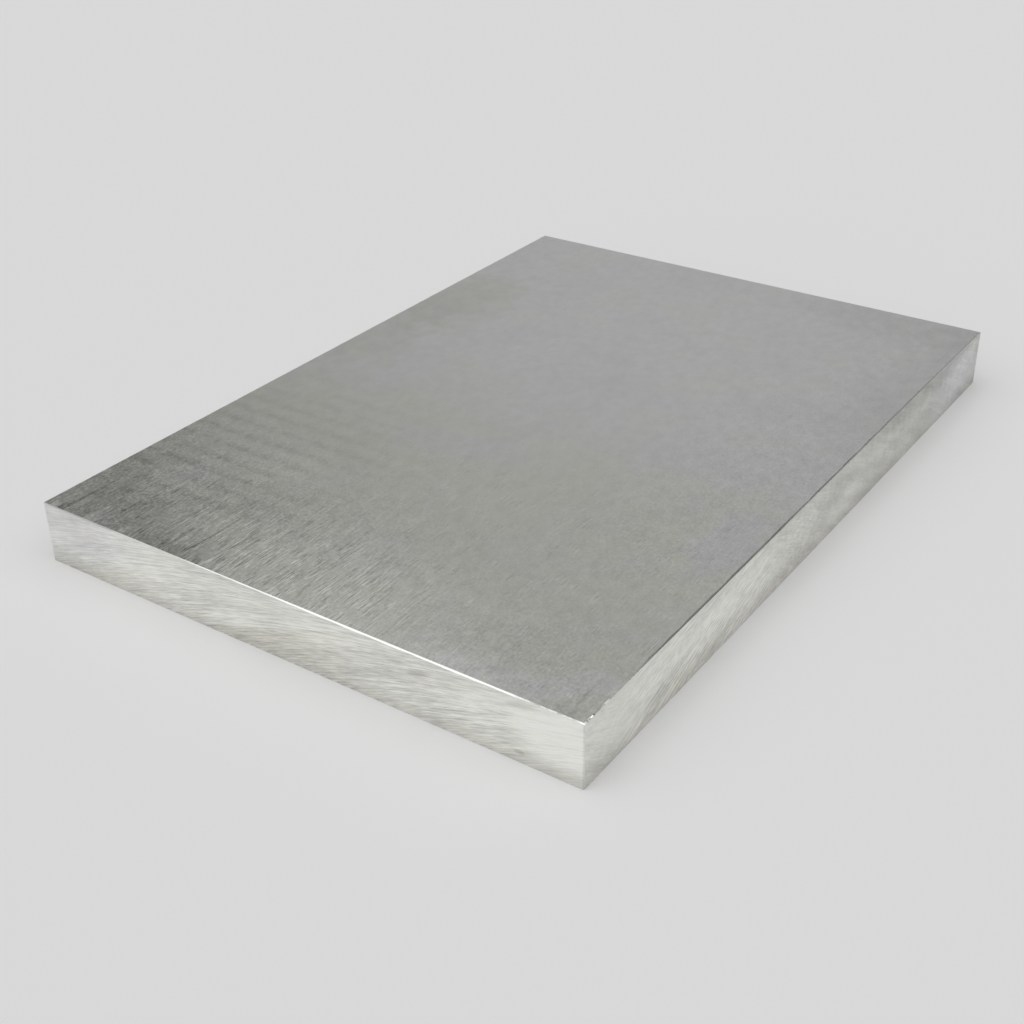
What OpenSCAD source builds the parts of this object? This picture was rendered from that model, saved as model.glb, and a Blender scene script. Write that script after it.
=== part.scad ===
// Aluminium plate: a rectangle sawn from rolled plate, with its edges filed.
// It lies flat, centred on the Z axis, with its underside on Z = 0.

/* [Plate] */
// Width, across the rolling grain
plate_w = 177.8; // [60:0.1:600]
// Length, along the rolling grain
plate_l = 254; // [60:0.1:900]
// Thickness of the rolled stock
plate_t = 19.05; // [6:0.05:60]

/* [Filed edges] */
// Leg of the chamfer along the four top edges
top_break = 0.4; // [0.1:0.05:2]
// Leg of the chamfer along the four bottom edges
bottom_break = 0.25; // [0.1:0.05:2]
// Leg of the chamfer down the four upright corners
corner_break = 0.2; // [0.1:0.05:2]

/* [Hidden] */

// A rectangle, centred on both axes, that loses a corner of leg low
// at each end of its lower side and of leg high at each end of its upper side
module broken_rectangle(size, low, high) {
    x = size[0] / 2;
    y = size[1] / 2;
    polygon([
        [low - x, -y], [x - low, -y],
        [x, low - y], [x, y - high],
        [x - high, y], [high - x, y],
        [-x, y - high], [-x, low - y]
    ]);
}

// The plate's upright section, size wide, drawn out over a run
module upright_prism(size, run) {
    rotate([90, 0, 0])
        linear_extrude(run, center = true)
            broken_rectangle([size, plate_t], bottom_break, top_break);
}

// The plate seen from above
module outline_prism() {
    linear_extrude(plate_t, center = true)
        broken_rectangle([plate_w, plate_l], corner_break, corner_break);
}

// The whole plate, one piece: what its three outlines have in common
module plate() {
    color([0.72, 0.73, 0.72])
        translate([0, 0, plate_t / 2])
            intersection() {
                upright_prism(plate_w, plate_l);
                rotate([0, 0, 90]) upright_prism(plate_l, plate_w);
                outline_prism();
            }
}

plate();
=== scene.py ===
import math

import bpy
from mathutils import Matrix, Vector, noise


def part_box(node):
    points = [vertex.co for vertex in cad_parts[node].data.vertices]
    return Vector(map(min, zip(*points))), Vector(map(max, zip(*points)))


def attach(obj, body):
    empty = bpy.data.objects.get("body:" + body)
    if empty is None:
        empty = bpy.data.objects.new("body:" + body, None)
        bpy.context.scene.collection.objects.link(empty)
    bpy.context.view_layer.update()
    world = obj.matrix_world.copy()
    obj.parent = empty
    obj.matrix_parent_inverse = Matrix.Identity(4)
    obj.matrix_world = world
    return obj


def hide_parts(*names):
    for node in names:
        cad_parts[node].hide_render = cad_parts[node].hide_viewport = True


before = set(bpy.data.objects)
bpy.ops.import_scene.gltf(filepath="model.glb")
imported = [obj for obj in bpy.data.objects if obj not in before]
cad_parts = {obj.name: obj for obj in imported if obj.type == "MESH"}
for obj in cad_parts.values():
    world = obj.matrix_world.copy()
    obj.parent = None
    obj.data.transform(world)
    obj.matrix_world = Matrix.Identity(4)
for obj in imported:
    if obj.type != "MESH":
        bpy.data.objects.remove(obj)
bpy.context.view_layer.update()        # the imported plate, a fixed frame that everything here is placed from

plateLow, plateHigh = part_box("plate")
plateSize = plateHigh - plateLow
mm = 0.001
flush = 0.001 * mm           # nearer than this counts as on a face
print("frame loaded, plate", [round(side / mm, 2) for side in plateSize], "mm")


def choose(made):
    bpy.ops.object.select_all(action="DESELECT")
    made.select_set(True)
    bpy.context.view_layer.objects.active = made


def feed(tree, socket, value):
    if isinstance(value, bpy.types.NodeSocket):
        tree.links.new(value, socket)
    else:
        socket.default_value = value


def addNode(tree, kind, inputs=None, **settings):
    made = tree.nodes.new("ShaderNode" + kind)
    for name, value in settings.items():
        setattr(made, name, value)
    for socket, value in (inputs or {}).items():
        feed(tree, made.inputs[socket], value)
    return made


def maths(tree, operation, *values, clamp=False):
    made = addNode(tree, "Math", dict(enumerate(values)), operation=operation, use_clamp=clamp)
    return made.outputs["Value"]


# A value taken from one range to another, levelled off at both ends
def remap(tree, value, fromLow, fromHigh, toLow=0.0, toHigh=1.0, smooth=True):
    made = addNode(tree, "MapRange", {
        "Value": value, "From Min": fromLow, "From Max": fromHigh, "To Min": toLow, "To Max": toHigh,
    }, interpolation_type="SMOOTHSTEP" if smooth else "LINEAR")
    return made.outputs["Result"]


def mixColours(tree, share, first, second):
    made = addNode(tree, "Mix", data_type="RGBA", clamp_factor=True)
    feed(tree, made.inputs[0], share)
    feed(tree, made.inputs[6], first)
    feed(tree, made.inputs[7], second)
    return made.outputs[2]


def startGroup(name, inputs, outputs):
    tree = bpy.data.node_groups.new(name, "ShaderNodeTree")
    for socket, (kind, value) in inputs.items():
        made = tree.interface.new_socket(name=socket, in_out="INPUT", socket_type="NodeSocket" + kind)
        if value is not None:
            made.default_value = value
    for socket, kind in outputs.items():
        tree.interface.new_socket(name=socket, in_out="OUTPUT", socket_type="NodeSocket" + kind)
    return tree, tree.nodes.new("NodeGroupInput").outputs, tree.nodes.new("NodeGroupOutput").inputs


def useGroup(tree, group, **inputs):
    made = tree.nodes.new("ShaderNodeGroup")
    made.node_tree = group
    for socket, value in inputs.items():
        feed(tree, made.inputs[socket], value)
    return made.outputs


cameraSetup = {
    "turn": 34.89,                  # degrees round the plate, from its front towards its right side
    "rise": 30.45,                  # degrees above the floor
    "distance": 0.4430,             # metres from the point it looks at
    "aim": (0.0281, -0.1318, 0.0),   # that point, as shares of the plate's sides from its middle
    "lens": 52.17,                  # millimetres, on a sensor 36 mm wide
    "lean": -0.88,                  # degrees that the camera leans over
}


def addCamera(setup):
    turn, rise = math.radians(setup["turn"]), math.radians(setup["rise"])
    back = Vector((math.sin(turn) * math.cos(rise), -math.cos(turn) * math.cos(rise), math.sin(rise)))
    aim = Vector(share * side for share, side in zip(setup["aim"], plateSize))
    lean = Matrix.Rotation(math.radians(setup["lean"]), 3, "Z")
    facing = (-back).to_track_quat("-Z", "Y").to_matrix() @ lean
    bpy.ops.object.camera_add(location=aim + back * setup["distance"], rotation=facing.to_euler())
    camera = bpy.context.object
    camera.name = "camera"
    camera.data.lens = setup["lens"]
    camera.data.sensor_width = 36
    camera.data.clip_start = 0.01
    bpy.context.scene.camera = camera


floorSetup = {"side": 24.0, "shade": 0.765}

# Bearings go round from straight behind the plate towards its right, and heights go up from the floor
lightSetup = {
    "room": 0.13,                # soft light from all round
    "horizon": 0.66,             # low down the room is as pale as the floor
    "horizonTop": (0.09, 0.24),  # heights between which that gives way to the room
    "brightest": 1.12,           # no part of the room is brighter
    "easing": 0.2,               # how gently it levels off there
    "panels": {                  # bearing, height, inner and outer half width in degrees, strength
        "front": (177, 50, 14, 58, 1.20),
        "overhead": (65, 73, 18, 50, 1.06),
        "behind": (-26, 27, 12, 31, 0.44),
        "left": (-125, 52, 15, 52, 0.58),
        "right": (110, 48, 15, 48, 0.42),
    },
    "key": {"bearing": -139, "height": 68, "spread": 22, "strength": 0.15},
}


def towards(bearing, height):
    bearing, height = math.radians(bearing), math.radians(height)
    level = math.cos(height)
    return Vector((math.sin(bearing) * level, math.cos(bearing) * level, math.sin(height)))


def addFloor(setup):
    bpy.ops.mesh.primitive_plane_add(size=setup["side"], location=(0, 0, plateLow.z))
    floor = bpy.context.object
    floor.name = "floor"
    material = bpy.data.materials.new("studio_floor")
    material.use_nodes = True
    shader = material.node_tree.nodes["Principled BSDF"]
    shader.inputs["Base Color"].default_value = (*[setup["shade"]] * 3, 1)
    shader.inputs["Roughness"].default_value = 1.0
    shader.inputs["Specular IOR Level"].default_value = 0.0
    floor.data.materials.append(material)


def addLight(setup):
    world = bpy.data.worlds.new("studio")
    world.use_nodes = True
    bpy.context.scene.world = world
    tree = world.node_tree
    direction = addNode(tree, "TexCoord").outputs["Generated"]
    height = addNode(tree, "SeparateXYZ", {"Vector": direction}).outputs["Z"]
    glow = remap(tree, height, *setup["horizonTop"], setup["horizon"], setup["room"])
    for bearing, rise, inner, outer, strength in setup["panels"].values():
        middle = towards(bearing, rise)
        facing = addNode(tree, "VectorMath", {0: direction, 1: middle}, operation="DOT_PRODUCT")
        edges = [math.cos(math.radians(angle)) for angle in (outer, inner)]
        glow = maths(tree, "ADD", glow, remap(tree, facing.outputs["Value"], *edges, 0.0, strength))
    glow = maths(tree, "SMOOTH_MIN", glow, setup["brightest"], setup["easing"])
    feed(tree, tree.nodes["Background"].inputs["Strength"], glow)
    tree.nodes["Background"].inputs["Color"].default_value = (1, 1, 1, 1)

    key = setup["key"]
    shining = -towards(key["bearing"], key["height"])
    bpy.ops.object.light_add(type="SUN", rotation=shining.to_track_quat("-Z", "Y").to_euler())
    lamp = bpy.context.object
    lamp.name = "key"
    lamp.data.angle = math.radians(key["spread"])
    lamp.data.energy = key["strength"]


plateShape = {
    "edgeBreak": 0.3 * mm,       # leg of the filed edges where they are full width
    "topStep": 1.3 * mm,         # spacing of the cuts over the broad face
    "sideStep": 0.45 * mm,       # and up the sides
    "cornerStep": 0.45 * mm,     # closer cuts by the burred corner, front right
    "cornerReach": 15 * mm,
    "wander": 0.3,               # how unevenly the edges are filed, as a share
    "burr": 0.22 * mm,           # how far the torn edge stands up there
    "burrReach": 22 * mm,
    "clear": 0.1 * mm,           # least room between a filed edge and the next cut
    "rollPitch": 7.1 * mm,       # bands that the rolls left across the grain
    "rollDepth": 0.002 * mm,
}

# How far each top edge was filed, over the broad face and down the side. At each place, in millimetres from
# the left or the front end, stand two shares of the full leg
edgeWidths = {
    "front": (
        (0, 0.3, 0.6), (12, 0.35, 1.7), (30, 0.35, 1.8), (40, 0.35, 1.5), (56, 0.3, 1.0), (66, 0.2, 1.1),
        (85, 0.2, 1.5), (100, 0.25, 1.9), (155, 0.2, 2.0), (165, 0.2, 1.3), (171, 0.25, 0.9), (178, 0.4, 1.4),
    ),
    "right": (
        (0, 1.2, 0.9), (20, 1.2, 0.5), (30, 1.8, 0.12), (90, 2.1, 0.08), (140, 2.4, 0.08), (254, 2.2, 0.1),
    ),
    "back": ((0, 0.6, 0.6), (178, 0.6, 0.6)),
    "left": ((0, 0.6, 0.6), (254, 0.7, 0.7)),
}
otherEdges = {"foot": 0.5, "upright": 0.45}      # shares of the full leg too

sawCut = {
    "bladeRadius": 315.0,        # millimetres, as are the rest
    "bladeDrop": 292.0,          # from the underside down to the middle of the blade
    "sway": 0.015,               # how far a side stands in and out of true
    "swayLength": 18.0,
    # each kind of mark: spacing as a share of the feed, length as a share of the run, detail
    "marks": {"Marks": (1.0, 1.9, 3.0), "Fine": (0.4, 0.45, 2.0), "Sway": (5.0, 4.5, 3.0)},
}


# Selects the parts of a mesh that pass a test, and leaves it in edit mode
def pick(piece, kind, test):
    bpy.ops.object.mode_set(mode="EDIT")
    bpy.ops.mesh.select_all(action="DESELECT")
    bpy.ops.object.mode_set(mode="OBJECT")
    for part in getattr(piece.data, kind):
        part.select = test(part)
    bpy.ops.object.mode_set(mode="EDIT")


# Divides the edges that run along an axis, over one stretch of it
def divide(piece, axis, low, high, step):
    def inside(edge):
        start, end = [piece.data.vertices[corner].co for corner in edge.vertices]
        run = end - start
        return abs(run[axis]) > 0.99 * run.length and low < (start[axis] + end[axis]) / 2 < high

    pick(piece, "edges", inside)
    bpy.ops.mesh.subdivide(number_cuts=max(1, round((high - low) / step) - 1), smoothness=0)


def cutPlate(shape):
    bpy.ops.mesh.primitive_cube_add(size=1, location=(plateLow + plateHigh) / 2, scale=plateSize)
    plate = bpy.context.object
    plate.name = "sawn_plate"
    choose(plate)
    bpy.ops.object.transform_apply(location=True, rotation=True, scale=True)

    # the underside comes off while the rest is divided, and goes back on as one flat face
    bpy.ops.object.mode_set(mode="EDIT")
    bpy.ops.mesh.select_mode(type="FACE")
    pick(plate, "polygons", lambda face: face.normal.z < -0.9)
    bpy.ops.mesh.delete(type="ONLY_FACE")
    bpy.ops.mesh.select_mode(type="EDGE")
    coarse = 1
    top, side, fine = [shape[name] * coarse for name in ("topStep", "sideStep", "cornerStep")]
    rightReach, frontReach = plateHigh.x - shape["cornerReach"], plateLow.y + shape["cornerReach"]
    third = (plateHigh.y - frontReach) / 3
    depths = (plateLow.y, frontReach, frontReach + third, frontReach + 2 * third, plateHigh.y)
    stretches = (
        (0, (plateLow.x, 0.0, rightReach, plateHigh.x), (top * 1.2, top * 1.2, fine)),
        (1, depths, (fine, top, top, top)),
        (2, (plateLow.z, plateHigh.z), (side,)),
    )
    for axis, stops, steps in stretches:
        for stop in stops[1:-1]:
            across = Vector([float(axis == other) for other in range(3)])
            bpy.ops.mesh.select_all(action="SELECT")
            bpy.ops.mesh.bisect(plane_co=across * stop, plane_no=across)
    for axis, stops, steps in stretches:
        for low, high, step in zip(stops, stops[1:], steps):
            divide(plate, axis, low, high, step)
    bpy.ops.mesh.select_all(action="DESELECT")
    bpy.ops.mesh.select_non_manifold()
    bpy.ops.mesh.edge_face_add()

    # file the twelve edges of the block
    def onRim(edge):
        ends = [plate.data.vertices[corner].co for corner in edge.vertices]
        flats = [all(abs(end[axis] - side[axis]) < flush for end in ends)
                 for axis in range(3) for side in (plateLow, plateHigh)]
        return sum(flats) == 2

    pick(plate, "edges", onRim)
    bpy.ops.mesh.bevel(offset=shape["edgeBreak"], segments=1, clamp_overlap=False)
    bpy.ops.object.mode_set(mode="OBJECT")
    print("plate cut,", len(plate.data.polygons), "faces")
    return plate


# Reads two values off lines drawn through a few points
def readOff(points, place):
    for (start, *first), (end, *second) in zip(points, points[1:]):
        if place <= end:
            share = max(place - start, 0) / (end - start)
            return [low + (high - low) * share for low, high in zip(first, second)]
    return points[-1][1:]


# How far a sawn side stands out at a place along it and up it, in millimetres
def sawSway(along, up, seed):
    rise = (up + sawCut["bladeDrop"]) / sawCut["bladeRadius"]
    phase = along + sawCut["bladeRadius"] * math.sqrt(1 - rise * rise)
    return sawCut["sway"] * noise.noise((phase / sawCut["swayLength"], up / sawCut["swayLength"] / 2, seed))


# The marks that the saw, the file and the rolls left, as moves of the mesh
def markPlate(plate, shape):
    leg, clear = shape["edgeBreak"], shape["clear"]
    for vertex in plate.data.vertices:
        x, y, z = vertex.co
        fromLeft, fromFront, up = (x - plateLow.x) / mm, (y - plateLow.y) / mm, (z - plateLow.z) / mm
        sideX, sideY = (1 if x > 0 else -1), (1 if y > 0 else -1)
        inX, inY = plateHigh.x - abs(x), plateHigh.y - abs(y)
        inTop, inFoot = plateHigh.z - z, z - plateLow.z
        uneven = 1 + shape["wander"] * noise.noise((fromLeft / 6, fromFront / 6, 3.0))
        uneven += shape["wander"] * 0.6 * noise.noise((fromLeft / 1.4, fromFront / 1.4, 13.0))
        widths = readOff(edgeWidths["right" if sideX > 0 else "left"], fromFront)
        overX, downX = [leg * width * uneven for width in widths]
        widths = readOff(edgeWidths["back" if sideY > 0 else "front"], fromLeft)
        overY, downY = [leg * width * uneven for width in widths]
        foot, upright = leg * otherEdges["foot"], leg * otherEdges["upright"]

        # take each filed edge to its own width, and the next cut clear of it
        if inTop < flush:
            if abs(inX - leg) < flush:
                vertex.co.x = sideX * (plateHigh.x - overX)
            elif leg < inX < 2 * leg:
                vertex.co.x = sideX * (plateHigh.x - max(inX, overX + clear))
            if abs(inY - leg) < flush:
                vertex.co.y = sideY * (plateHigh.y - overY)
            elif leg < inY < 2 * leg:
                vertex.co.y = sideY * (plateHigh.y - max(inY, overY + clear))
        elif inFoot < flush:
            if abs(inX - leg) < flush:
                vertex.co.x = sideX * (plateHigh.x - foot)
            if abs(inY - leg) < flush:
                vertex.co.y = sideY * (plateHigh.y - foot)
        else:
            down = downX if inX < flush else downY
            if abs(inTop - leg) < flush:
                vertex.co.z = plateHigh.z - down
            elif leg < inTop < 2 * leg:
                vertex.co.z = plateHigh.z - max(inTop, down + clear)
            elif abs(inFoot - leg) < flush:
                vertex.co.z = plateLow.z + foot * uneven
            if inX < flush and abs(inY - leg) < flush:
                vertex.co.y = sideY * (plateHigh.y - upright)
            elif inY < flush and abs(inX - leg) < flush:
                vertex.co.x = sideX * (plateHigh.x - upright)

        # the sway of the saw on the sides, and the bands of the rolls on the broad face
        if inTop > 2 * leg and inFoot > 1.2 * leg:
            if inY < flush and inX > 1.2 * leg:
                vertex.co.y += sideY * mm * sawSway(-sideY * x / mm, up, 11.0 + 10 * sideY)
            if inX < flush and inY > 1.2 * leg:
                vertex.co.x += sideX * mm * sawSway(sideX * y / mm, up, 21.0 + 12 * sideX)
        if inTop < flush and min(inX, inY) > 2 * leg:
            wander = 2.2 * noise.noise((fromLeft / 30, fromFront / 30, 0.5))
            band = math.sin(2 * math.pi * fromFront * mm / shape["rollPitch"] + wander)
            vertex.co.z -= shape["rollDepth"] * (0.5 + 0.5 * band)

        # the burr torn up along the right edge, by the front corner
        if sideX > 0 and inX < 1.2 * leg and inTop < 1.2 * leg and fromFront * mm < shape["burrReach"]:
            tear = noise.noise((fromFront / 0.55, inX / mm, 6.0))
            tear += 0.4 * noise.noise((fromFront / 2.5, 0.0, 16.0))
            fade = 1 - fromFront * mm / shape["burrReach"]
            vertex.co.z += shape["burr"] * fade * max(0.0, tear)
            vertex.co.x += shape["burr"] * fade * max(0.0, tear) * 0.5


# A place along one side of the map: the filed strips at its ends are given three times their width
def mapRun(value, low, high, leg):
    inside = min(max(value, low + leg), high - leg)
    return inside - low + 2 * leg + 3 * (value - inside)


mapLayout = {
    "scale": 3.5,                # map widths to a metre
    "gap": 0.006,
    "undersideScale": 1.25,
}


# Lays the faces out flat: the map runs across the grain on the broad faces, and up the plate on its sides
def mapPlate(plate, shape, layout):
    uv = plate.data.uv_layers.new(name="OFBake").uv     # the map that the materials' tangents follow
    scale, gap, leg = layout["scale"], layout["gap"], shape["edgeBreak"]
    strip = (plateSize.z + 4 * leg) * scale + gap
    sides = gap + plateSize.x * scale + gap
    ends = sides + 2 * strip
    under = 2 * gap + (plateSize.x + 4 * leg) * scale
    for face in plate.data.polygons:
        normal = face.normal
        for loop, corner in zip(face.loop_indices, face.vertices):
            x, y, z = plate.data.vertices[corner].co
            up = mapRun(z, plateLow.z, plateHigh.z, leg) * scale
            if normal.z > 0.9:
                place = (gap + (x - plateLow.x) * scale, gap + (y - plateLow.y) * scale)
            elif normal.z < -0.9:
                place = (ends + (plateHigh.x - x) * layout["undersideScale"],
                         under + (y - plateLow.y) * layout["undersideScale"])
            elif abs(normal.y) > abs(normal.x) - 0.1:
                along = mapRun(x, plateLow.x, plateHigh.x, leg) * scale
                place = (ends + up + (strip if normal.y > 0 else 0), gap + along)
            else:
                place = (sides + up + (strip if normal.x > 0 else 0), gap + (y - plateLow.y) * scale)
            uv[loop].vector = place


# Fine lines left by a tool, running along Y. Lines is light and dark from 0 to 1
def lineGroup():
    tree, given, put = startGroup("tool_lines", {
        "Vector": ("Vector", None), "Spacing": ("Float", 1.0), "Length": ("Float", 20.0),
        "Seed": ("Float", 0.0),
    }, {"Lines": "Float"})
    place = addNode(tree, "SeparateXYZ", {"Vector": given["Vector"]}).outputs
    spot = addNode(tree, "CombineXYZ", {
        "X": maths(tree, "DIVIDE", place["X"], given["Spacing"]),
        "Y": maths(tree, "DIVIDE", place["Y"], given["Length"]),
        "Z": given["Seed"],
    }).outputs["Vector"]
    lines = addNode(tree, "TexNoise", {"Vector": spot, "Scale": 1.0, "Detail": 1.5, "Roughness": 0.6})
    feed(tree, put["Lines"], remap(tree, lines.outputs["Fac"], 0.22, 0.78, smooth=False))
    return tree


# Single long scratches along Y with cut ends, light ones and dark ones. Width and Length are in millimetres
def scratchGroup():
    tree, given, put = startGroup("scratches", {
        "Vector": ("Vector", None), "Apart": ("Float", 6.0), "Width": ("Float", 0.3),
        "Length": ("Float", 12.0), "Seed": ("Float", 0.0),
    }, {"Light": "Float", "Dark": "Float"})
    place = addNode(tree, "SeparateXYZ", {"Vector": given["Vector"]}).outputs
    for name, seed in (("Light", 0.0), ("Dark", 40.0)):
        spot = addNode(tree, "CombineXYZ", {
            "X": maths(tree, "DIVIDE", place["X"], given["Apart"]),
            "Y": maths(tree, "DIVIDE", place["Y"], maths(tree, "MULTIPLY", given["Length"], 14.0)),
            "Z": maths(tree, "ADD", given["Seed"], seed),
        }).outputs["Vector"]
        across = addNode(tree, "TexNoise", {"Vector": spot, "Scale": 1.0, "Detail": 0.0}).outputs["Fac"]
        off = maths(tree, "ABSOLUTE", maths(tree, "SUBTRACT", across, 0.5))
        wide = maths(tree, "DIVIDE", maths(tree, "MULTIPLY", given["Width"], 0.25), given["Apart"])
        thin = maths(tree, "SUBTRACT", 1.0, maths(tree, "DIVIDE", off, wide), clamp=True)
        run = addNode(tree, "CombineXYZ", {
            "X": maths(tree, "DIVIDE", place["X"], given["Apart"]),
            "Y": maths(tree, "DIVIDE", place["Y"], given["Length"]),
            "Z": maths(tree, "ADD", given["Seed"], seed + 9.0),
        }).outputs["Vector"]
        ends = addNode(tree, "TexNoise", {"Vector": run, "Scale": 1.0, "Detail": 1.0}).outputs["Fac"]
        feed(tree, put[name], maths(tree, "MULTIPLY", thin, remap(tree, ends, 0.50, 0.60)))
    return tree


# Short dashes scattered over the face, each in its own cell of a stretched grid
def dashGroup():
    tree, given, put = startGroup("stray_dashes", {
        "Vector": ("Vector", None), "Width": ("Float", 0.5), "Length": ("Float", 4.0),
        "Share": ("Float", 0.05), "Seed": ("Float", 0.0),
    }, {"Mask": "Float", "Light": "Float"})
    place = addNode(tree, "SeparateXYZ", {"Vector": given["Vector"]}).outputs
    spot = addNode(tree, "CombineXYZ", {
        "X": maths(tree, "ADD", maths(tree, "DIVIDE", place["X"], given["Width"]), given["Seed"]),
        "Y": maths(tree, "DIVIDE", place["Y"], given["Length"]),
        "Z": maths(tree, "DIVIDE", place["Z"], given["Width"]),
    }).outputs["Vector"]
    cells = addNode(tree, "TexVoronoi", {"Vector": spot, "Scale": 1.0, "Randomness": 1.0}).outputs
    tone = addNode(tree, "SeparateColor", {"Color": cells["Color"]}).outputs
    near = remap(tree, cells["Distance"], 0.34, 0.12)
    kept = maths(tree, "LESS_THAN", tone["Red"], given["Share"])
    feed(tree, put["Mask"], maths(tree, "MULTIPLY", near, kept))
    feed(tree, put["Light"], tone["Green"])
    return tree


# Cloudy patches with soft edges, from 0 to 1
def cloudGroup():
    tree, given, put = startGroup("handling_clouds", {
        "Vector": ("Vector", None), "Size": ("Float", 20.0), "Seed": ("Float", 0.0),
        "Contrast": ("Float", 1.0),
    }, {"Clouds": "Float"})
    shift = addNode(tree, "CombineXYZ", {axis: given["Seed"] for axis in "XYZ"}).outputs["Vector"]
    spot = addNode(tree, "VectorMath", {0: given["Vector"], 1: shift}, operation="ADD").outputs["Vector"]
    clouds = addNode(tree, "TexNoise", {
        "Vector": spot, "Scale": maths(tree, "DIVIDE", 1.0, given["Size"]), "Detail": 3.0, "Roughness": 0.55,
    })
    centred = maths(tree, "SUBTRACT", clouds.outputs["Fac"], 0.5)
    widened = maths(tree, "MULTIPLY", centred, given["Contrast"])
    feed(tree, put["Clouds"], maths(tree, "MULTIPLY_ADD", widened, 2.0, 0.5, clamp=True))
    return tree


# One patch on a face, round a place that is picked for it. Ragged breaks up its edge
def patchGroup():
    tree, given, put = startGroup("patch", {
        "Across": ("Float", 0.0), "Up": ("Float", 0.0), "AtAcross": ("Float", 0.0), "AtUp": ("Float", 0.0),
        "HalfWidth": ("Float", 10.0), "HalfHeight": ("Float", 10.0), "Slope": ("Float", 0.0),
        "Soft": ("Float", 0.5), "Ragged": ("Float", 0.5),
    }, {"Mask": "Float"})
    across = maths(tree, "SUBTRACT", given["Across"], given["AtAcross"])
    lifted = maths(tree, "SUBTRACT", given["Up"], given["AtUp"])
    up = maths(tree, "SUBTRACT", lifted, maths(tree, "MULTIPLY", across, given["Slope"]))
    wide = maths(tree, "DIVIDE", maths(tree, "ABSOLUTE", across), given["HalfWidth"])
    high = maths(tree, "DIVIDE", maths(tree, "ABSOLUTE", up), given["HalfHeight"])
    away = maths(tree, "ADD", maths(tree, "POWER", wide, 2.0), maths(tree, "POWER", high, 2.0))
    away = maths(tree, "SQRT", away)
    torn = maths(tree, "MULTIPLY_ADD", maths(tree, "SUBTRACT", given["Ragged"], 0.5), 0.6, away)
    outer, inner = maths(tree, "ADD", 1.0, given["Soft"]), maths(tree, "SUBTRACT", 1.0, given["Soft"])
    feed(tree, put["Mask"], remap(tree, torn, outer, inner))
    return tree


# The arcs of a circular saw on a side. Marks are single teeth, Fine what lies between them, Sway the slower
# light and dark of the cut, and Comb a row of heavy marks. Run is how long the marks are
def sawGroup():
    tree, given, put = startGroup("saw_arcs", {
        "Along": ("Float", 0.0), "Up": ("Float", 0.0), "Feed": ("Float", 1.7), "Run": ("Float", 12.0),
        "Seed": ("Float", 0.0), "Pitch": ("Float", 4.4),
    }, {"Marks": "Float", "Fine": "Float", "Sway": "Float", "Comb": "Float"})
    rise = maths(tree, "MINIMUM", maths(tree, "ADD", given["Up"], sawCut["bladeDrop"]), sawCut["bladeRadius"])
    angle = maths(tree, "ARCCOSINE", maths(tree, "DIVIDE", rise, sawCut["bladeRadius"]))
    stroke = maths(tree, "MULTIPLY", angle, sawCut["bladeRadius"])
    reach = maths(tree, "MULTIPLY", maths(tree, "SINE", angle), sawCut["bladeRadius"])
    phase = maths(tree, "ADD", given["Along"], reach)
    for name, (spacing, length, detail) in sawCut["marks"].items():
        spot = addNode(tree, "CombineXYZ", {
            "X": maths(tree, "DIVIDE", phase, maths(tree, "MULTIPLY", given["Feed"], spacing)),
            "Y": maths(tree, "DIVIDE", stroke, maths(tree, "MULTIPLY", given["Run"], length)),
            "Z": given["Seed"],
        }).outputs["Vector"]
        lines = addNode(tree, "TexNoise", {"Vector": spot, "Scale": 1.0, "Detail": detail, "Roughness": 0.6})
        feed(tree, put[name], remap(tree, lines.outputs["Fac"], 0.25, 0.75, smooth=False))
    # heavy marks at an even pitch, a little uneven as the feed is
    even = maths(tree, "DIVIDE", phase, given["Pitch"])
    turns = maths(tree, "MULTIPLY_ADD", lines.outputs["Fac"], 1.2, even)
    wave = maths(tree, "SINE", maths(tree, "MULTIPLY", turns, 2 * math.pi))
    feed(tree, put["Comb"], maths(tree, "MULTIPLY_ADD", wave, 0.5, 0.5))
    return tree


# Starts a metal, with places on it given in millimetres from the front left corner of the underside
def startMaterial(name, look):
    material = bpy.data.materials.new(name)
    material.use_nodes = True
    tree = material.node_tree
    shader = tree.nodes["Principled BSDF"]
    shader.inputs["Metallic"].default_value = 1.0
    shader.inputs["Anisotropic"].default_value = look["anisotropic"]
    across = addNode(tree, "Tangent", direction_type="UV_MAP", uv_map="OFBake")
    feed(tree, shader.inputs["Tangent"], across.outputs["Tangent"])
    place = addNode(tree, "Mapping", {
        "Vector": addNode(tree, "TexCoord").outputs["Object"],
        "Location": -plateLow / mm, "Scale": (1 / mm, 1 / mm, 1 / mm),
    }).outputs["Vector"]
    return material, tree, shader, place, addNode(tree, "SeparateXYZ", {"Vector": place}).outputs


def times(tree, first, *others):
    for other in others:
        first = maths(tree, "MULTIPLY", first, other)
    return first


# Adds up how much each effect lightens or darkens, about a middle of 1. An effect of 0.5 changes nothing
def brightness(tree, *effects):
    total = 1.0
    for value, amount in effects:
        centred = maths(tree, "SUBTRACT", value, 0.5)
        total = maths(tree, "ADD", total, maths(tree, "MULTIPLY", centred, amount))
    return total


def shade(tree, colour, amount):
    return addNode(tree, "VectorMath", {0: colour, "Scale": amount}, operation="SCALE").outputs["Vector"]


def addBump(tree, shader, height, distance):
    bump = addNode(tree, "Bump", {"Height": height, "Strength": 1.0, "Distance": distance})
    feed(tree, shader.inputs["Normal"], bump.outputs["Normal"])


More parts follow.
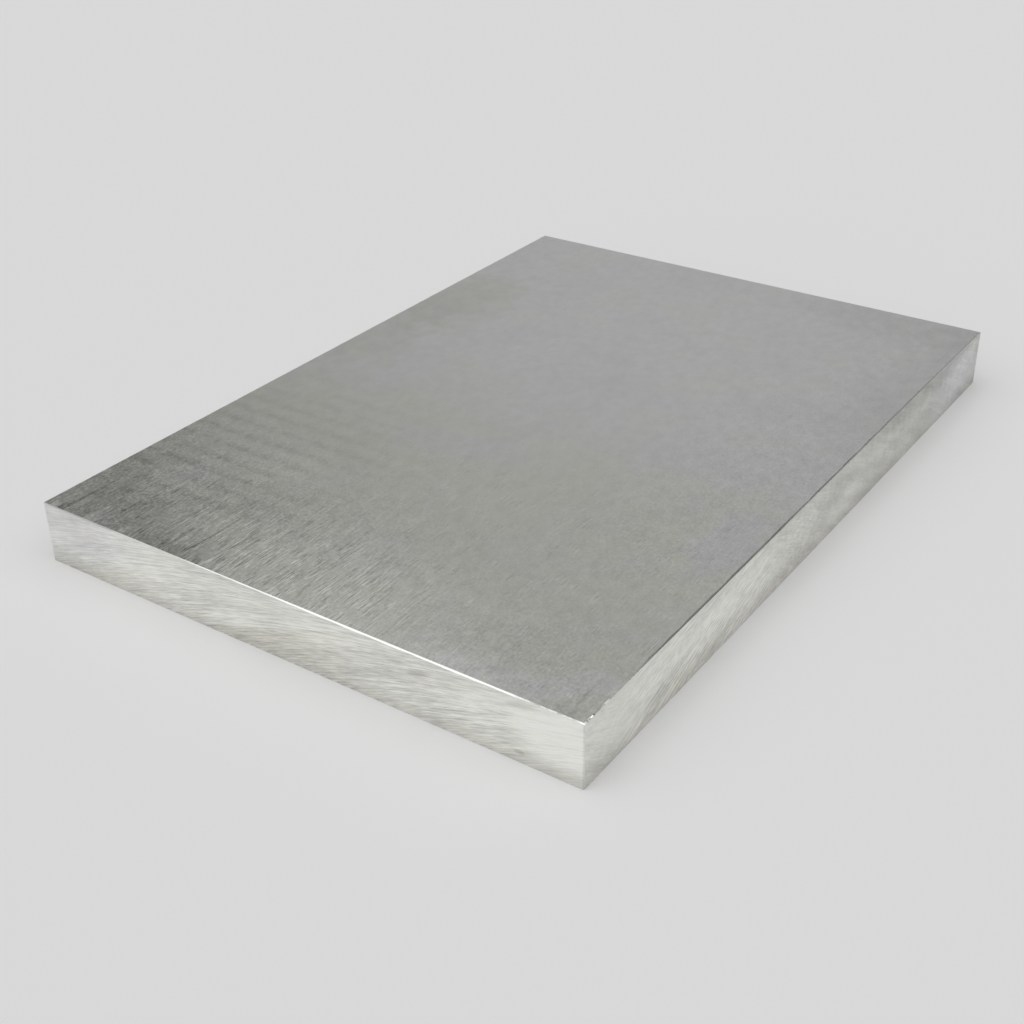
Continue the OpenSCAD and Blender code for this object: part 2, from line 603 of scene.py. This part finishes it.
# Lays a face's patches over its tone and its tint, where shown is above 0
def addPatches(tree, effects, across, up, ragged, shown, tone, tint, look):
    for atAcross, atUp, halfWidth, halfHeight, slope, soft, brighter, stain, share in look["patches"]:
        patch = useGroup(tree, effects["patch"], Across=across, Up=up, AtAcross=atAcross, AtUp=atUp,
                         HalfWidth=halfWidth, HalfHeight=halfHeight, Slope=slope, Soft=soft, Ragged=ragged)
        mask = times(tree, patch["Mask"], shown)
        tone = maths(tree, "MULTIPLY_ADD", mask, brighter, tone)
        if share:
            tint = mixColours(tree, times(tree, mask, share), tint, look[stain])
    return tone, tint


rolledLook = {
    "nearColour": (0.560, 0.566, 0.518, 1),   # a trace of green at the front
    "farColour": (0.588, 0.588, 0.590, 1),
    "lilac": (0.575, 0.564, 0.582, 1),
    "olive": (0.550, 0.560, 0.515, 1),
    "roughness": 0.35,
    "anisotropic": 0.45,
    "grainDepth": 0.004 * mm,
    # sizes are in millimetres, and amounts are how much each one lightens and darkens the face
    "mottle": {"size": 3.0, "amount": 0.28},
    "grit": {"size": 0.62, "amount": 0.85},
    "grain": {"spacing": 0.26, "length": 5.0, "amount": 1.6},
    "scratches": {"apart": 5.0, "width": 0.30, "length": 11.0, "amount": 0.50},
    "bands": 0.14,
    "dashes": 0.22,
    "flecks": 0.70,
    "specks": 0.75,
    # from the left, from the front, half width, half depth, slope, soft, brighter by, stain and its share
    "patches": (
        (103, -4, 44, 28, 0, 0.8, 0.24, "lilac", 0),          # rubbed bright by the front edge
        (26, 3, 34, 16, 0, 0.6, -0.08, "olive", 0),
        (32, 3, 22, 5, 0, 0.6, -0.06, "olive", 0),
        (3, 3, 9, 8, 0, 0.6, 0.20, "olive", 0),
        (68, 15, 10, 6, 0, 0.6, 0.04, "olive", 0),
        (21, 15, 10, 4, 0, 0.6, -0.06, "olive", 0),
        (21, 30, 10, 5, 0, 0.6, 0.09, "olive", 0),
        (46, 52, 14, 9, 0, 0.6, 0.06, "olive", 0),
        (47, 1, 12, 4, 0, 0.5, -0.16, "olive", 0),
        (47, 16, 12, 6, 0, 0.6, 0.08, "olive", 0),
        (138, 16, 26, 8, 0, 0.6, -0.05, "olive", 0),
        (143, 0, 20, 5, 0, 0.6, 0.10, "olive", 0),
        (178, 4, 1.5, 12, 0, 0.6, 0.10, "olive", 0),
        # painted shade: darker along the left edge, by the front
        (4, 20, 14, 24, 0, 0.6, -0.09, "olive", 0),
        (1, 57, 5, 9, 0, 0.5, -0.07, "olive", 0),
        (80, 92, 22, 9, 0.2, 0.5, 0.00, "lilac", 0.6),
        (169, 84, 9, 18, 0, 0.25, 0.00, "lilac", 0.7),
        (168, 11, 9, 6, 0.5, 0.25, 0.02, "lilac", 0.6),
        (150, 3, 16, 4, 0, 0.5, 0.00, "lilac", 0.5),
        (10, 180, 16, 26, 0, 0.5, -0.05, "olive", 0.7),
        (6, 140, 12, 22, 0, 0.5, -0.02, "olive", 0.6),
        (95, 175, 60, 60, 0.2, 0.7, 0.03, "lilac", 0),
        (150, 250, 30, 16, 0, 0.7, -0.07, "lilac", 0),
        (178, 195, 14, 54, 0, 0.7, -0.06, "lilac", 0),
    ),
}


def rolledMaterial(look, effects):
    material, tree, shader, place, spot = startMaterial("rolled_face", look)
    lines, clouds = effects["lines"], effects["clouds"]
    cloud = useGroup(tree, clouds, Vector=place, Size=24.0, Seed=11.0, Contrast=1.3)["Clouds"]
    ragged = useGroup(tree, clouds, Vector=place, Size=7.0, Seed=25.0, Contrast=1.2)["Clouds"]
    drawn = addNode(tree, "Mapping", {"Vector": place, "Scale": (1.0, 0.72, 1.0)}).outputs["Vector"]
    size = look["mottle"]["size"]
    mottle = useGroup(tree, clouds, Vector=drawn, Size=size, Seed=40.0, Contrast=1.0)["Clouds"]
    size = look["grit"]["size"]
    grit = useGroup(tree, clouds, Vector=drawn, Size=size, Seed=52.0, Contrast=1.1)["Clouds"]

    # the face is roughest by the front edge and the left, and nearly plain at the back
    slant = maths(tree, "MULTIPLY_ADD", spot["X"], 0.25, spot["Y"])
    nearer = remap(tree, spot["Y"], 130.0, 0.0)
    leftward = remap(tree, spot["X"], 75.0, 135.0, 1.0, 0.5)
    rough = times(tree, remap(tree, slant, 90.0, 10.0), remap(tree, ragged, 0.0, 1.0, 0.6, 1.4))
    rough = maths(tree, "MULTIPLY_ADD", rough, 0.68, maths(tree, "MULTIPLY", nearer, 0.22))
    rightward = times(tree, remap(tree, spot["X"], 105.0, 165.0, 0.0, 0.23),
                      remap(tree, spot["Y"], 40.0, 78.0, 0.25, 1.0),
                      remap(tree, spot["Y"], 200.0, 110.0, 0.35, 1.0))
    rough = maths(tree, "MULTIPLY_ADD", rough, leftward, rightward)
    coarse = maths(tree, "MULTIPLY_ADD", rough, 0.70, 0.30)
    fine = maths(tree, "MULTIPLY_ADD", rough, 0.96, 0.04)

    # short grain lines in tufts, and a few long scratches
    tufts = useGroup(tree, clouds, Vector=place, Size=5.5, Seed=63.0, Contrast=2.0)["Clouds"]
    grained = times(tree, remap(tree, spot["Y"], 56.0, 6.0), remap(tree, spot["X"], 140.0, 90.0),
                    remap(tree, spot["X"], 5.0, 66.0, 0.50, 1.0))
    fine = times(tree, fine, maths(tree, "MULTIPLY_ADD", grained, -0.42, 1.0))
    coarse = times(tree, coarse, maths(tree, "MULTIPLY_ADD", grained, -0.35, 1.0))
    grained = times(tree, grained, remap(tree, tufts, 0.1, 0.75, 0.15, 1.0))
    sprigs = times(tree, remap(tree, tufts, 0.62, 0.85), remap(tree, spot["Y"], 130.0, 60.0),
                   remap(tree, spot["X"], 40.0, 110.0), 0.24)
    grained = maths(tree, "MAXIMUM", grained, sprigs)
    size = look["grain"]
    grain = useGroup(tree, lines, Vector=place, Spacing=size["spacing"], Length=size["length"], Seed=7.5)
    grain = grain["Lines"]
    size = look["scratches"]
    scratched = useGroup(tree, effects["scratches"], Vector=place, Apart=size["apart"], Width=size["width"],
                         Length=size["length"], Seed=31.0)
    scratches = maths(tree, "SUBTRACT", times(tree, scratched["Light"], 0.9), scratched["Dark"])
    slanted = (0, 0, math.radians(39))
    stray = addNode(tree, "Mapping", {"Vector": place, "Rotation": slanted}).outputs["Vector"]
    dashes = useGroup(tree, effects["dashes"], Vector=stray, Width=2.2, Length=0.6, Share=0.04, Seed=3.0)
    flecks = useGroup(tree, effects["dashes"], Vector=place, Width=0.42, Length=1.3, Share=0.16, Seed=17.0)

    # bands across the grain, broken up by it
    sway = useGroup(tree, clouds, Vector=place, Size=50.0, Seed=70.0, Contrast=0.12)["Clouds"]
    turns = maths(tree, "ADD", maths(tree, "DIVIDE", spot["Y"], plateShape["rollPitch"] / mm), sway)
    turns = maths(tree, "ADD", turns, 0.2)
    wave = maths(tree, "SINE", maths(tree, "MULTIPLY", turns, 2 * math.pi))
    wave = maths(tree, "MULTIPLY_ADD", wave, 0.5, 0.5)
    bands = times(tree, maths(tree, "POWER", wave, 2.0), remap(tree, mottle, 0.25, 0.75, 1.25, 0.65))
    rolled = times(tree, remap(tree, spot["X"], 88.0, 30.0), remap(tree, spot["Y"], 120.0, 40.0),
                   remap(tree, spot["Y"], 10.0, 26.0, 0.2, 1.0), remap(tree, ragged, 0.1, 0.5, 0.5, 1.0))

    tone = brightness(tree, (cloud, 0.05), (ragged, 0.05))
    for value, share, name in ((mottle, coarse, "mottle"), (grit, fine, "grit"), (grain, grained, "grain")):
        centred = maths(tree, "SUBTRACT", value, 0.5)
        tone = maths(tree, "ADD", tone, times(tree, centred, share, look[name]["amount"]))
    tone = maths(tree, "ADD", tone, times(tree, scratches, rough, look["scratches"]["amount"]))
    tone = maths(tree, "SUBTRACT", tone, times(tree, bands, rolled, look["bands"]))
    flick = maths(tree, "MULTIPLY", maths(tree, "SUBTRACT", dashes["Light"], 0.3), look["dashes"])
    mostlyNear = maths(tree, "MULTIPLY_ADD", nearer, 0.8, 0.2)
    tone = maths(tree, "ADD", tone, times(tree, flick, dashes["Mask"], mostlyNear))
    flick = maths(tree, "MULTIPLY", maths(tree, "SUBTRACT", flecks["Light"], 0.45), look["flecks"])
    tone = maths(tree, "ADD", tone, times(tree, flick, flecks["Mask"], fine))

    # bright specks torn up along the right edge, by the front corner
    torn = useGroup(tree, effects["dashes"], Vector=place, Width=0.45, Length=0.8, Share=0.4, Seed=9.0)
    specks = times(tree, torn["Mask"], remap(tree, spot["X"], 175.8, 176.9),
                   remap(tree, spot["Y"], 26.0, 4.0))
    tone = maths(tree, "ADD", tone, times(tree, specks, look["specks"]))

    # green by the front and neutral at the back, with a cloudy line between
    greener = remap(tree, spot["Y"], 150.0, 70.0)
    blend = maths(tree, "MULTIPLY_ADD", maths(tree, "SUBTRACT", cloud, 0.5), 0.9, greener, clamp=True)
    tint = mixColours(tree, blend, look["farColour"], look["nearColour"])
    tone, tint = addPatches(tree, effects, spot["X"], spot["Y"], ragged, 1.0, tone, tint, look)
    feed(tree, shader.inputs["Base Color"], shade(tree, tint, tone))
    roughness = maths(tree, "MULTIPLY_ADD", maths(tree, "SUBTRACT", cloud, 0.5), 0.05, look["roughness"])
    feed(tree, shader.inputs["Roughness"], roughness)
    ridges = maths(tree, "ADD", times(tree, grit, fine), times(tree, grain, grained))
    ridges = maths(tree, "SUBTRACT", ridges, times(tree, bands, rolled, 0.6))
    addBump(tree, shader, ridges, look["grainDepth"])
    return material


endLook = {
    "colour": (0.800, 0.806, 0.757, 1),
    "footShadeColour": (0.684, 0.675, 0.635, 1),   # painted shade: darker and warmer towards the underside
    "lilac": (0.795, 0.786, 0.797, 1),
    "beige": (0.715, 0.704, 0.650, 1),
    "roughness": 0.42,
    "anisotropic": 0.35,
    "markDepth": 0.008 * mm,
    # how strong the marks are: where they fade in, are full, and fade out to the share that stays
    "marksFrom": (-70.0, 60.0), "marksTo": (152.0, 170.0), "marksStay": 0.50,
    "run": 12.0, "marks": 0.50, "fine": 0.56, "sway": 0.21, "mottle": 0.06,
    # along, up, half length, half height, slope, soft, brighter by, stain and its share
    "patches": (
        (8, 13, 24, 9, 0, 0.5, -0.03, "lilac", 0.7),
        (4, 1, 12, 5, 0, 0.6, -0.10, "beige", 0),
        (36, 13, 17, 7, 0, 0.6, 0.10, "lilac", 0),
        (5, 9, 6, 4, 0, 0.6, 0.08, "lilac", 0),
        (28, 4, 14, 3, 0.2, 0.6, -0.02, "beige", 0.5),
        (151, 2.5, 8, 1.5, 0, 0.6, 0.05, "beige", 0.3),
        (44, 6, 9, 3, 0, 0.6, 0.06, "lilac", 0),
        (71, 13.5, 9, 3, 0, 0.6, 0.04, "lilac", 0),
        (71, 7, 8, 2.5, 0.2, 0.6, 0.08, "lilac", 0),
        (98, 13, 9, 3, 0.2, 0.6, 0.07, "beige", 0.2),
        (124, 12, 8, 3, 0.1, 0.6, -0.08, "beige", 0.2),
        (100, 14, 18, 6, 0.15, 0.7, 0.09, "beige", 0),
        (150, 12, 10, 6, 0.1, 0.7, 0.08, "beige", 0),
        (173, 12, 14, 8, 0, 0.45, 0.22, "lilac", 0),           # brighter by the front right corner
        (177.8, 9, 0.42, 60, 0, 0.5, -0.20, "beige", 0),       # and its upright edge darker
        (131, 13.5, 3, 1.5, 0, 0.5, -0.08, "beige", 0.7),
        (161, 17, 4, 1, 0.2, 0.5, -0.10, "beige", 0.3),
        (160, 3, 1.5, 0.6, 0, 0.5, -0.16, "beige", 0.5),
    ),
    # stretches where heavy marks show at an even pitch, with how strongly
    "combs": (
        (66, 6, 22, 5, 0.2, 0.6, 0.05),
    ),
    # where the blade wandered off by a hair, below a straight line: start at the foot, slope, end, amount
    "wedge": (57.5, 0.335, 118.0, -0.07),
}

sideLook = {
    **endLook,
    "colour": (0.780, 0.790, 0.741, 1),
    # the colour by the underside is painted shade here too
    "footShadeColour": (0.738, 0.719, 0.690, 1),
    "lilac": (0.780, 0.776, 0.792, 1),
    "marksFrom": (2.0, 28.0), "marksTo": (86.0, 103.0), "marksStay": 0.0,
    "run": 7.0, "marks": 0.44, "fine": 0.64, "mottle": 0.10,
    # marks that fall the other way, where the others are missing, made with the blade standing lower
    "crossed": 0.40,
    "crossedFades": (112.0, 142.0, 0.5),       # where they weaken, and to which share
    "crossedDrop": 21.0,
    "wedge": None,
    "patches": (
        (4, 7, 8, 8, 0, 0.5, 0.05, "lilac", 0),
        (178, 17, 14, 2.5, 0, 0.6, -0.06, "lilac", 0),
        (178, 5.5, 12, 2.5, 0, 0.6, 0.07, "lilac", 0),
        (30, 2, 10, 2, 0, 0.6, 0.08, "lilac", 0),
        (140, 6, 10, 3, 0, 0.6, 0.07, "lilac", 0),
        (216, 16.5, 16, 3, 0, 0.6, -0.08, "lilac", 0),
        (246, 10, 8, 4, 0, 0.6, -0.08, "lilac", 0),
        (63, 13, 9, 3, 0, 0.6, 0.08, "lilac", 0),
        (140, 13, 9, 3, 0, 0.6, -0.07, "lilac", 0),
        (246, 2, 12, 3, 0, 0.6, -0.12, "lilac", 0),
        (3, 1, 14, 5, 0, 0.6, -0.12, "beige", 0),
        (50, 12, 46, 10, 0, 0.7, 0.12, "lilac", 0),
        (36, 6, 10, 3, 0.2, 0.6, -0.09, "beige", 0.3),
        (36, 0.5, 20, 4, 0.15, 0.5, -0.06, "beige", 0.7),
        (66, 2, 16, 4, 0.15, 0.6, -0.05, "beige", 0.4),
        (62, 17, 12, 3, 0, 0.7, -0.10, "beige", 0),
        (98, 0.5, 20, 4, 0.15, 0.5, -0.03, "beige", 0.6),
        (98, 17.5, 16, 3, 0, 0.7, -0.07, "beige", 0),
        # painted shade: the far part of the side darker
        (200, 9.5, 90, 30, 0, 0.25, -0.13, "beige", 0),
        (206, 19, 40, 5, 0, 0.8, -0.20, "beige", 0),
        (140, 4, 14, 5, 0.2, 0.7, 0.06, "beige", 0),
        (176, 4, 14, 6, 0.3, 0.7, -0.06, "beige", 0),
        (216, 9, 14, 6, 0.2, 0.7, -0.08, "beige", 0),
        (232, 11, 20, 9, 0, 0.5, 0.05, "lilac", 0.9),
        (236, 18.5, 12, 1.5, 0, 0.5, -0.05, "beige", 0.4),
        (253, 10, 3, 12, 0, 0.5, -0.08, "lilac", 0),
    ),
    "combs": (
        (52, 10, 16, 5, 0.2, 0.5, 0.16),
        (32, 3, 14, 3.5, 0.2, 0.5, 0.18),
        (66, 3, 12, 3.5, 0.2, 0.5, 0.12),
        (98, 12, 22, 6, 0.2, 0.6, 0.12),
    ),
}


# alongY says that the side runs along Y, as the left and right ones do
def sawnMaterial(name, look, effects, alongY, seed):
    material, tree, shader, place, spot = startMaterial(name, look)
    facing = addNode(tree, "SeparateXYZ", {"Vector": addNode(tree, "TexCoord").outputs["Normal"]}).outputs
    # along runs to the right as one faces the side, and the front and right sides have a turned of 1
    turned = maths(tree, "SIGN", facing["X"] if alongY else maths(tree, "MULTIPLY", facing["Y"], -1.0))
    middle = (plateSize.y if alongY else plateSize.x) / 2 / mm
    offset = maths(tree, "SUBTRACT", spot["Y"] if alongY else spot["X"], middle)
    along = maths(tree, "MULTIPLY_ADD", offset, turned, middle)
    shown = maths(tree, "MAXIMUM", turned, 0.0)
    lot = maths(tree, "MULTIPLY_ADD", turned, 5.0, seed)
    arcs = useGroup(tree, effects["saw"], Along=along, Up=spot["Z"], Run=look["run"], Seed=lot)
    cloud = useGroup(tree, effects["clouds"], Vector=place, Size=9.0, Seed=seed, Contrast=1.2)["Clouds"]
    ragged = useGroup(tree, effects["clouds"], Vector=place, Size=2.4, Seed=seed + 9, Contrast=1.0)["Clouds"]

    strong = times(tree, remap(tree, along, *look["marksFrom"]),
                   remap(tree, along, *look["marksTo"], 1.0, look["marksStay"]))
    tone = brightness(tree, (cloud, 0.06), (ragged, look["mottle"]))
    sets = [(arcs, strong, strong)]
    if "crossed" in look:
        backwards = maths(tree, "MULTIPLY", along, -1.0)
        lower = maths(tree, "SUBTRACT", spot["Z"], look["crossedDrop"])
        other = useGroup(tree, effects["saw"], Along=backwards, Up=lower, Run=look["run"], Seed=lot)
        missing = maths(tree, "SUBTRACT", 1.0, strong)
        start, end, stay = look["crossedFades"]
        weaker = remap(tree, along, start, end, 1.0, stay)
        sets.append((other, missing, times(tree, missing, weaker, look["crossed"])))
    for cut, swaying, marked in sets:
        swayed = maths(tree, "SUBTRACT", cut["Sway"], 0.5)
        tone = maths(tree, "ADD", tone, times(tree, swayed, swaying, look["sway"]))
        streaks = brightness(tree, (cut["Marks"], look["marks"]), (cut["Fine"], look["fine"]))
        tone = maths(tree, "MULTIPLY_ADD", maths(tree, "SUBTRACT", streaks, 1.0), marked, tone)
    # painted shade: darker and warmer towards the underside
    foot = times(tree, remap(tree, spot["Z"], 4.5, 0.5), remap(tree, cloud, 0.1, 0.7, 0.6, 1.0))
    tint = mixColours(tree, foot, look["colour"], look["footShadeColour"])
    torn = maths(tree, "MULTIPLY_ADD", arcs["Marks"], 0.7, maths(tree, "MULTIPLY", ragged, 0.3))
    tone, tint = addPatches(tree, effects, along, spot["Z"], torn, shown, tone, tint, look)
    if look["wedge"]:
        start, slope, end, amount = look["wedge"]
        line = maths(tree, "MULTIPLY_ADD", along, slope, -slope * start)
        below = maths(tree, "SUBTRACT", maths(tree, "MULTIPLY_ADD", arcs["Fine"], 0.25, line), spot["Z"])
        fade = times(tree, remap(tree, along, end, start + 32.0), shown)
        mask = times(tree, remap(tree, below, 0.2, 0.5), fade)
        rim = times(tree, remap(tree, below, -0.6, 0.1), remap(tree, below, 0.4, 0.2), fade)
        tone = maths(tree, "MULTIPLY_ADD", mask, amount, maths(tree, "MULTIPLY_ADD", rim, 0.06, tone))
        tint = mixColours(tree, maths(tree, "MULTIPLY", mask, 0.7), tint, look["beige"])
    for atAlong, atUp, halfLength, halfHeight, slope, soft, amount in look["combs"]:
        patch = useGroup(tree, effects["patch"], Across=along, Up=spot["Z"], AtAcross=atAlong, AtUp=atUp,
                         HalfWidth=halfLength, HalfHeight=halfHeight, Slope=slope, Soft=soft, Ragged=torn)
        comb = times(tree, maths(tree, "SUBTRACT", arcs["Comb"], 0.5), patch["Mask"], amount)
        tone = maths(tree, "ADD", tone, comb)
    feed(tree, shader.inputs["Base Color"], shade(tree, tint, tone))
    roughness = maths(tree, "MULTIPLY_ADD", arcs["Fine"], 0.08, look["roughness"] - 0.04)
    feed(tree, shader.inputs["Roughness"], roughness)
    marks = maths(tree, "MULTIPLY_ADD", arcs["Fine"], 0.4, maths(tree, "MULTIPLY", arcs["Marks"], 0.6))
    addBump(tree, shader, times(tree, marks, strong), look["markDepth"])
    return material


filedLook = {
    "colour": (0.93, 0.93, 0.92, 1),
    # painted shade: the grey of the shadow line along the right edge
    "edgeShadeColour": (0.57, 0.57, 0.55, 1),
    # darkest: painted contact shadow at the foot, painted shadow line along the right edge, and the darker
    # stretches of the front edge
    "darkeningColour": (0.27, 0.27, 0.255, 1),
    "roughness": 0.30,
    "anisotropic": 0.2,
    # stretches of the front edge by its left end, made darker: from here, to here, this much
    "dullLeft": ((62.0, 50.0, 0.44), (34.0, 26.0, 0.66), (95.0, 75.0, 0.14)),
    # how the edge's faces lean: along the front, over its bright stretch, on the burr, on the right brink
    "rounded": (0.0, 0.0, 0.8),
    "turned": (0.28, 0.0, 0.05),
    "torn": (0.0, -0.9, 0.4),
    "rolledOver": (1.5, 0.0, 0.0),
}


def filedMaterial(look, effects):
    material, tree, shader, place, spot = startMaterial("filed_edge", look)
    strokes = useGroup(tree, effects["lines"], Vector=place, Spacing=0.5, Length=0.9, Seed=5.0)["Lines"]
    cloud = useGroup(tree, effects["clouds"], Vector=place, Size=5.0, Seed=90.0, Contrast=1.4)["Clouds"]
    grit = useGroup(tree, effects["clouds"], Vector=place, Size=1.4, Seed=99.0, Contrast=2.0)["Clouds"]
    high = maths(tree, "GREATER_THAN", spot["Z"], 10.0)
    front = times(tree, maths(tree, "LESS_THAN", spot["Y"], 0.8), high)
    notFront = maths(tree, "SUBTRACT", 1.0, front)
    right = times(tree, maths(tree, "GREATER_THAN", spot["X"], 176.9), high, notFront)

    # the front edge is darker over its left third and a stretch near the right
    leftEnd = 0.0
    for start, full, amount in look["dullLeft"]:
        leftEnd = maths(tree, "MAXIMUM", leftEnd, remap(tree, spot["X"], start, full, 0.0, amount))
    rightEnd = times(tree, remap(tree, spot["X"], 157.0, 164.0), remap(tree, spot["X"], 177.6, 175.0),
                     remap(tree, grit, 0.0, 1.0, 0.3, 0.7))
    onFront = times(tree, front, maths(tree, "MAXIMUM", leftEnd, rightEnd))
    # the right edge is torn bright at the front, then greyed and darkened with painted shade, a shadow line,
    # but for its outer brink
    burr = times(tree, right, remap(tree, spot["Y"], 16.0, 2.0), remap(tree, grit, 0.45, 0.65))
    shadowLine = times(tree, right, remap(tree, spot["Y"], 14.0, 38.0), remap(tree, spot["Y"], 300.0, 110.0))
    shadowLine = times(tree, shadowLine, remap(tree, cloud, 0.0, 0.5, 0.85, 1.0))
    brink = times(tree, right, remap(tree, spot["X"], 177.35, 177.6), remap(tree, spot["Y"], 80.0, 110.0))
    shadowLine = times(tree, shadowLine, maths(tree, "SUBTRACT", 1.0, brink))
    # painted contact shadow on the filed edges by the underside
    foot = times(tree, remap(tree, spot["Z"], 1.0, 0.6), 0.28)
    # the painted shade of the shadow line and the foot, with the darker front stretches
    dull = maths(tree, "MAXIMUM", shadowLine, maths(tree, "MAXIMUM", foot, onFront))
    # painted shade: the right edge greyed, but for its burr and less on its brink
    edgeShade = times(tree, right, maths(tree, "SUBTRACT", 1.0, maths(tree, "MAXIMUM", burr, brink)))
    tint = mixColours(tree, edgeShade, look["colour"], look["edgeShadeColour"])
    tint = mixColours(tree, maths(tree, "MULTIPLY", brink, 0.5), tint, look["edgeShadeColour"])
    tint = mixColours(tree, dull, tint, look["darkeningColour"])
    feed(tree, shader.inputs["Base Color"], shade(tree, tint, brightness(tree, (strokes, 0.12))))
    roughness = maths(tree, "MULTIPLY_ADD", strokes, 0.1, look["roughness"] - 0.05)
    feed(tree, shader.inputs["Roughness"], roughness)
    facing = addNode(tree, "NewGeometry").outputs["Normal"]
    bright = times(tree, front, remap(tree, spot["X"], 54.0, 70.0))
    tip = times(tree, burr, remap(tree, spot["Y"], 14.0, 2.0, 0.1, 0.3))
    for name, share in (("rounded", front), ("turned", bright), ("torn", tip), ("rolledOver", brink)):
        facing = addNode(tree, "VectorMath", {0: facing, 1: shade(tree, look[name], share)}, operation="ADD")
        facing = facing.outputs["Vector"]
    facing = addNode(tree, "VectorMath", {0: facing}, operation="NORMALIZE").outputs["Vector"]
    feed(tree, shader.inputs["Normal"], facing)
    return material


def dressPlate(plate):
    effects = {
        "lines": lineGroup(), "scratches": scratchGroup(), "dashes": dashGroup(), "clouds": cloudGroup(),
        "patch": patchGroup(), "saw": sawGroup(),
    }
    for material in (
        rolledMaterial(rolledLook, effects),
        sawnMaterial("sawn_ends", endLook, effects, False, 2.0),
        sawnMaterial("sawn_sides", sideLook, effects, True, 12.0),
        filedMaterial(filedLook, effects),
    ):
        plate.data.materials.append(material)
    for face in plate.data.polygons:
        x, y, z = [abs(part) for part in face.normal]
        face.material_index = 0 if z > 0.9 else 3 if z > 0.3 else 1 if y > 0.3 else 2


bpy.context.scene.view_settings.view_transform = "Standard"
addCamera(cameraSetup)
addFloor(floorSetup)
addLight(lightSetup)
print("camera, floor and light set")

plate = cutPlate(plateShape)
mapPlate(plate, plateShape, mapLayout)
dressPlate(plate)
markPlate(plate, plateShape)
choose(plate)
bpy.ops.object.shade_smooth_by_angle(angle=math.radians(25))
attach(plate, "root")
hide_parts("plate")
print("plate dressed")
